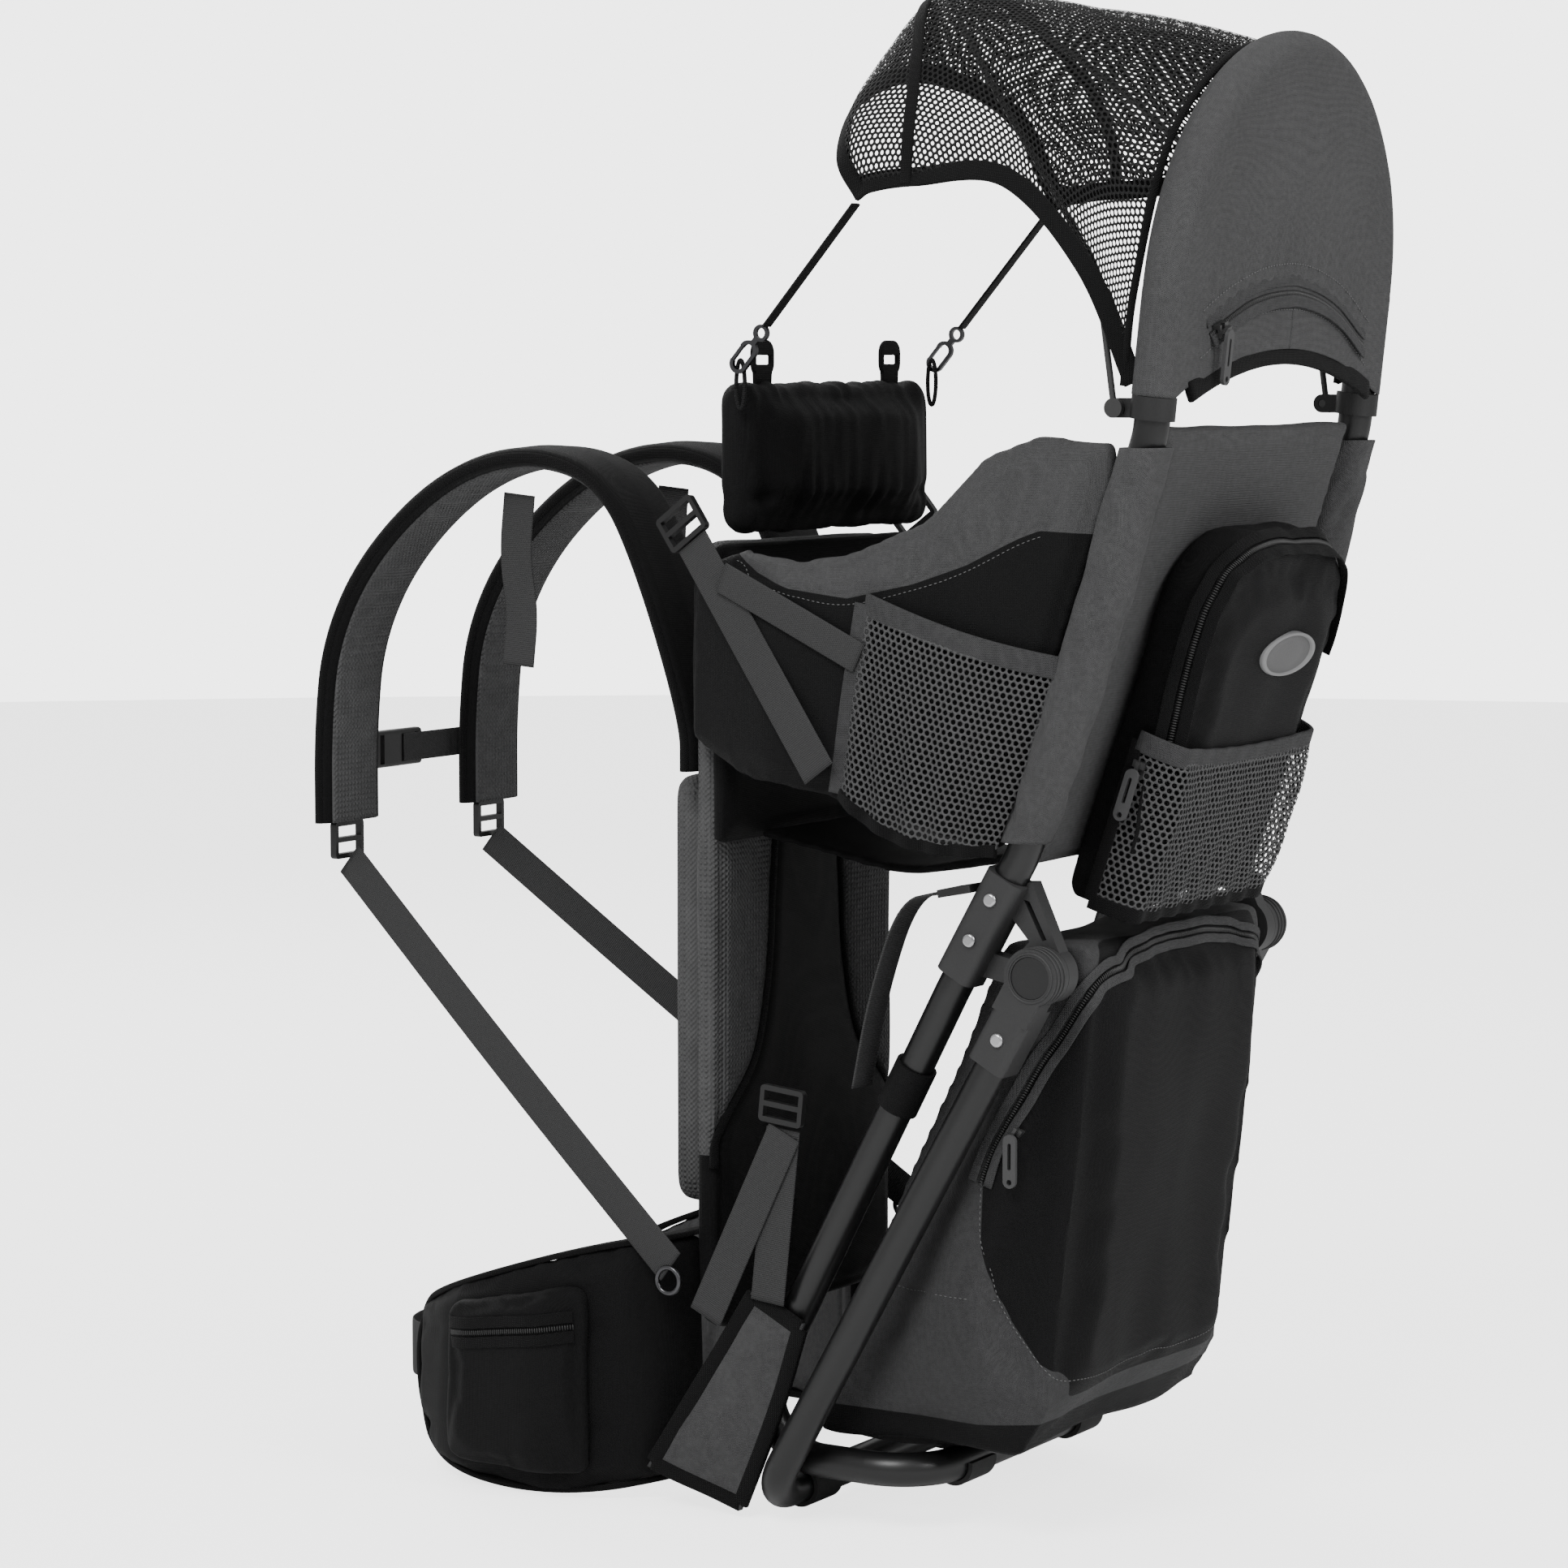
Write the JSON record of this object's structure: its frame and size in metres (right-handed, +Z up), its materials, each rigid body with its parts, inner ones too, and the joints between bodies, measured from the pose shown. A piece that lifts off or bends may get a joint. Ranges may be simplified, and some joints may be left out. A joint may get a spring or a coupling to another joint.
{
  "type": "framed child carrier backpack",
  "caption": "Framed child carrier backpack with a padded harness, a fold-out kickstand, storage bags and a tilting mesh sun canopy.",
  "frame": {"origin": "middle of the back panel's face that lies against the wearer's back, at the height of the stand's hinge; the carrier is modelled as worn, with the stand folded", "axes": "+Z up as worn, +Y towards the wearer's front, +X to the wearer's right"},
  "size_m": [0.369, 0.7098, 0.9819],
  "materials": {
    "frame_tube": "satin black powder coat over aluminium tube",
    "moulded_grey": "fine grained moulded nylon",
    "moulded_black": "moulded acetal",
    "rivet_steel": "domed rivets",
    "hook_metal": "dark plated steel",
    "zip_metal": "black enamel",
    "pull_rubber": "soft moulded grip",
    "foot_rubber": "matt",
    "grey_fabric": "plain woven polyester, mid grey",
    "wing_fabric": "padded panel, grey over black",
    "black_fabric": "black woven nylon over foam",
    "bag_fabric": "black and grey woven nylon",
    "black_elastic": "woven elastic",
    "bow_wire": "black coated spring wire",
    "canopy_net": "hexagonal knitted mesh",
    "pocket_net": "open knitted net with a bound hem",
    "spacer_mesh": "breathable spacer mesh",
    "black_webbing": "narrow woven webbing",
    "grey_webbing": "woven webbing",
    "patch_rubber": "blank oval badge with a raised rim"
  },
  "bodies": {
    "carrier": {"upper_hoop_tube": "frame_tube", "base_frame_tube": "frame_tube", "hub_cross_tube": "frame_tube", "frame_bracket_left": "moulded_grey", "frame_bracket_right": "moulded_grey", "bow_clips": "moulded_black", "ladder_buckles": "moulded_black", "belt_buckle_socket": "moulded_black", "sternum_buckle_socket": "moulded_black", "bracket_rivets": "rivet_steel", "hinge_pins": "rivet_steel", "base_foot_pads": "foot_rubber", "tube_collars": "grey_fabric", "tube_sleeves": "grey_fabric", "hood_panel": "grey_fabric", "hood_band": "black_elastic", "canopy_mesh": "canopy_net", "cord_loops": "black_webbing", "pad_loops": "black_webbing", "seat_back": "grey_fabric", "seat_wing_left": "wing_fabric", "seat_wing_right": "wing_fabric", "front_panel": "black_fabric", "front_pad": "black_fabric", "seat_sling": "black_fabric", "side_pockets": "pocket_net", "daypack": "black_fabric", "daypack_pocket": "pocket_net", "daypack_patch": "patch_rubber", "storage_bag": "bag_fabric", "back_panel": "black_fabric", "back_pads": "spacer_mesh", "shoulder_straps": "black_fabric", "lower_webbing": "grey_webbing", "lifter_webbing": "grey_webbing", "sternum_webbing": "grey_webbing", "belt_webbing": "grey_webbing", "fin_webbing": "grey_webbing", "stirrup_webbing": "grey_webbing", "harness_straps": "grey_fabric", "hip_belt_wings": "black_fabric", "belt_pouches": "black_fabric", "stabiliser_fins": "grey_fabric"},
    "stand": {"kickstand_tube": "frame_tube", "leg_sockets": "moulded_grey", "hub_caps": "moulded_black", "stand_rivets": "rivet_steel", "stand_foot_pads": "foot_rubber"},
    "canopy_bow": {"canopy_bow": "bow_wire", "tie_straps": "black_webbing", "snap_hooks": "hook_metal"},
    "hook_gates": {"hook_gates": "hook_metal"},
    "hood_zip_slider": {"hood_zip_slider": "zip_metal"},
    "hood_zip_pull": {"hood_zip_pull": "pull_rubber"},
    "daypack_zip_slider": {"daypack_zip_slider": "zip_metal"},
    "daypack_zip_pull": {"daypack_zip_pull": "pull_rubber"},
    "bag_zip_slider": {"bag_zip_slider": "zip_metal"},
    "bag_zip_pull": {"bag_zip_pull": "pull_rubber"},
    "belt_buckle_prong": {"belt_buckle_prong": "moulded_black"},
    "sternum_buckle_prong": {"sternum_buckle_prong": "moulded_black"}
  },
  "joints": [
    {"name": "stand_fold", "type": "hinge", "parent": "carrier", "child": "stand", "pos_m": [0, -0.29, 0], "axis": [-1, 0, 0], "range_deg": [0, 46]},
    {"name": "canopy_fold", "type": "hinge", "parent": "carrier", "child": "canopy_bow", "pos_m": [0, -0.33885, 0.349], "axis": [1, 0, 0], "range_deg": [0, 17], "deforming": ["canopy_mesh"]},
    {"name": "gate_press", "type": "hinge", "parent": "canopy_bow", "child": "hook_gates", "pos_m": [0, -0.05845, 0.38558], "axis": [-1, 0, 0], "range_deg": [0, 20], "stiffness_Nm_per_rad": 0.02, "springref_deg": -17.19},
    {"name": "hood_zip_travel", "type": "slide", "parent": "carrier", "child": "hood_zip_slider", "axis": [0.9507, -0.033, 0.3085], "range_m": [0, 0.055]},
    {"name": "hood_pull_swing", "type": "hinge", "parent": "hood_zip_slider", "child": "hood_zip_pull", "pos_m": [-0.1, -0.39057, 0.3956], "axis": [-1, 0, 0], "range_deg": [0, 100]},
    {"name": "daypack_zip_travel", "type": "slide", "parent": "carrier", "child": "daypack_zip_slider", "axis": [0, -0.3134, 0.9496], "range_m": [0, 0.085]},
    {"name": "daypack_pull_swing", "type": "hinge", "parent": "daypack_zip_slider", "child": "daypack_zip_pull", "pos_m": [-0.1072, -0.33099, 0.12579], "axis": [0, 0.9496, 0.3134], "range_deg": [0, 100]},
    {"name": "bag_zip_travel", "type": "slide", "parent": "carrier", "child": "bag_zip_slider", "axis": [0, -0.5977, 0.8017], "range_m": [0, 0.04]},
    {"name": "bag_pull_swing", "type": "hinge", "parent": "bag_zip_slider", "child": "bag_zip_pull", "pos_m": [-0.1377, -0.262, -0.104], "axis": [0, 1, 0], "range_deg": [0, 100]},
    {"name": "belt_release", "type": "slide", "parent": "carrier", "child": "belt_buckle_prong", "axis": [1, 0, 0], "range_m": [0, 0.035]},
    {"name": "sternum_release", "type": "slide", "parent": "carrier", "child": "sternum_buckle_prong", "axis": [1, 0, 0], "range_m": [0, 0.022]}
  ]
}
